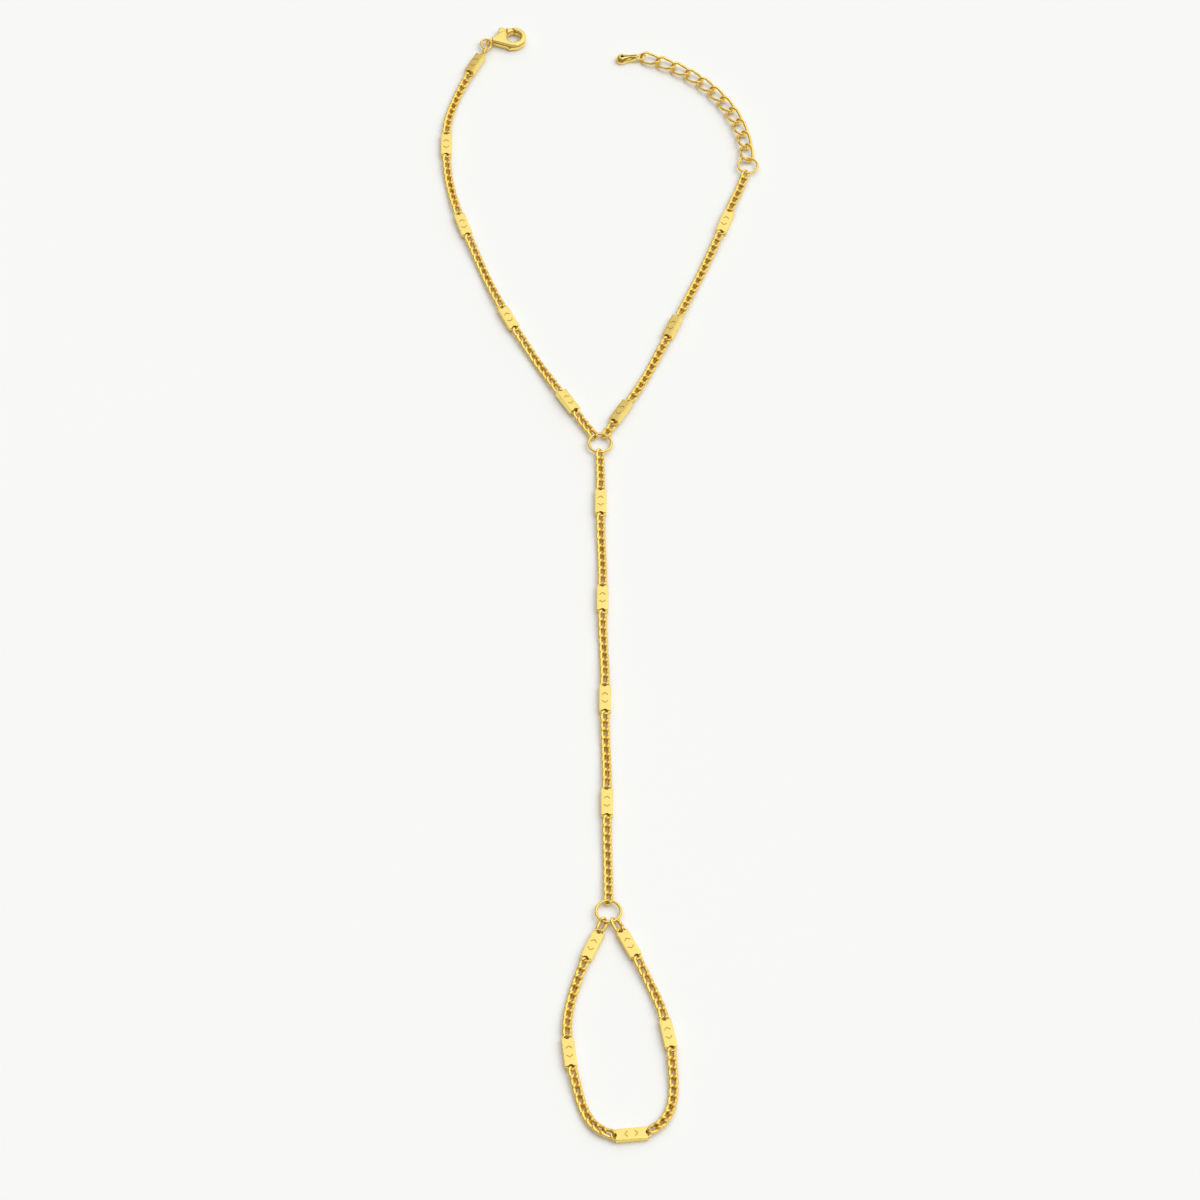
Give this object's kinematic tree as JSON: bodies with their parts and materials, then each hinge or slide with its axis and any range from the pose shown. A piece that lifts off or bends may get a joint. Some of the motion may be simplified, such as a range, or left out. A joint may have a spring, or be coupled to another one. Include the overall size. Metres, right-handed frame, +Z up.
{
  "type": "hand chain bracelet",
  "caption": "Gold-tone hand chain: a wrist chain with clasp and extender, a hand chain and a finger loop, all curb links with small oblong bars, joined at plain rings.",
  "frame": {"origin": "middle of the underside of the second hand bar, on the surface that the bracelet lies on", "axes": "+Z up from that surface, +Y along the hand chain towards the wrist, +X to the right, where the extender lies"},
  "size_m": [0.057, 0.2273, 0.0016],
  "materials": {
    "satin_bars": "gold plated, satin with bright edges",
    "bright_wire": "gold plated, polished",
    "cast_fittings": "gold plated, polished casting"
  },
  "bodies": {
    "bracelet": {"clasp_body": "cast_fittings", "clasp_ring": "bright_wire", "wrist_chain_left": "bright_wire", "wrist_bar_left_1": "satin_bars", "wrist_bar_left_2": "satin_bars", "wrist_bar_left_3": "satin_bars", "wrist_bar_left_4": "satin_bars", "wrist_bar_left_5": "satin_bars", "centre_ring": "bright_wire", "wrist_chain_right": "bright_wire", "wrist_bar_right_1": "satin_bars", "wrist_bar_right_2": "satin_bars", "wrist_bar_right_3": "satin_bars", "extender_ring": "bright_wire", "extender_chain": "bright_wire", "end_drop": "cast_fittings", "hand_chain": "bright_wire", "hand_bar_1": "satin_bars", "hand_bar_2": "satin_bars", "hand_bar_3": "satin_bars", "hand_bar_4": "satin_bars", "finger_ring": "bright_wire", "finger_chain": "bright_wire", "finger_bar_1": "satin_bars", "finger_bar_2": "satin_bars", "finger_bar_3": "satin_bars", "finger_bar_4": "satin_bars", "finger_bar_5": "satin_bars"},
    "lever": {"clasp_lever": "cast_fittings"}
  },
  "joints": [
    {"name": "clasp_lever_hinge", "type": "hinge", "parent": "bracelet", "child": "lever", "pos_m": [-0.0185, 0.12523, 0.0008], "axis": [0, 0, -1], "range_deg": [0, 25], "stiffness_Nm_per_rad": 0.001, "springref_deg": -20.05}
  ]
}
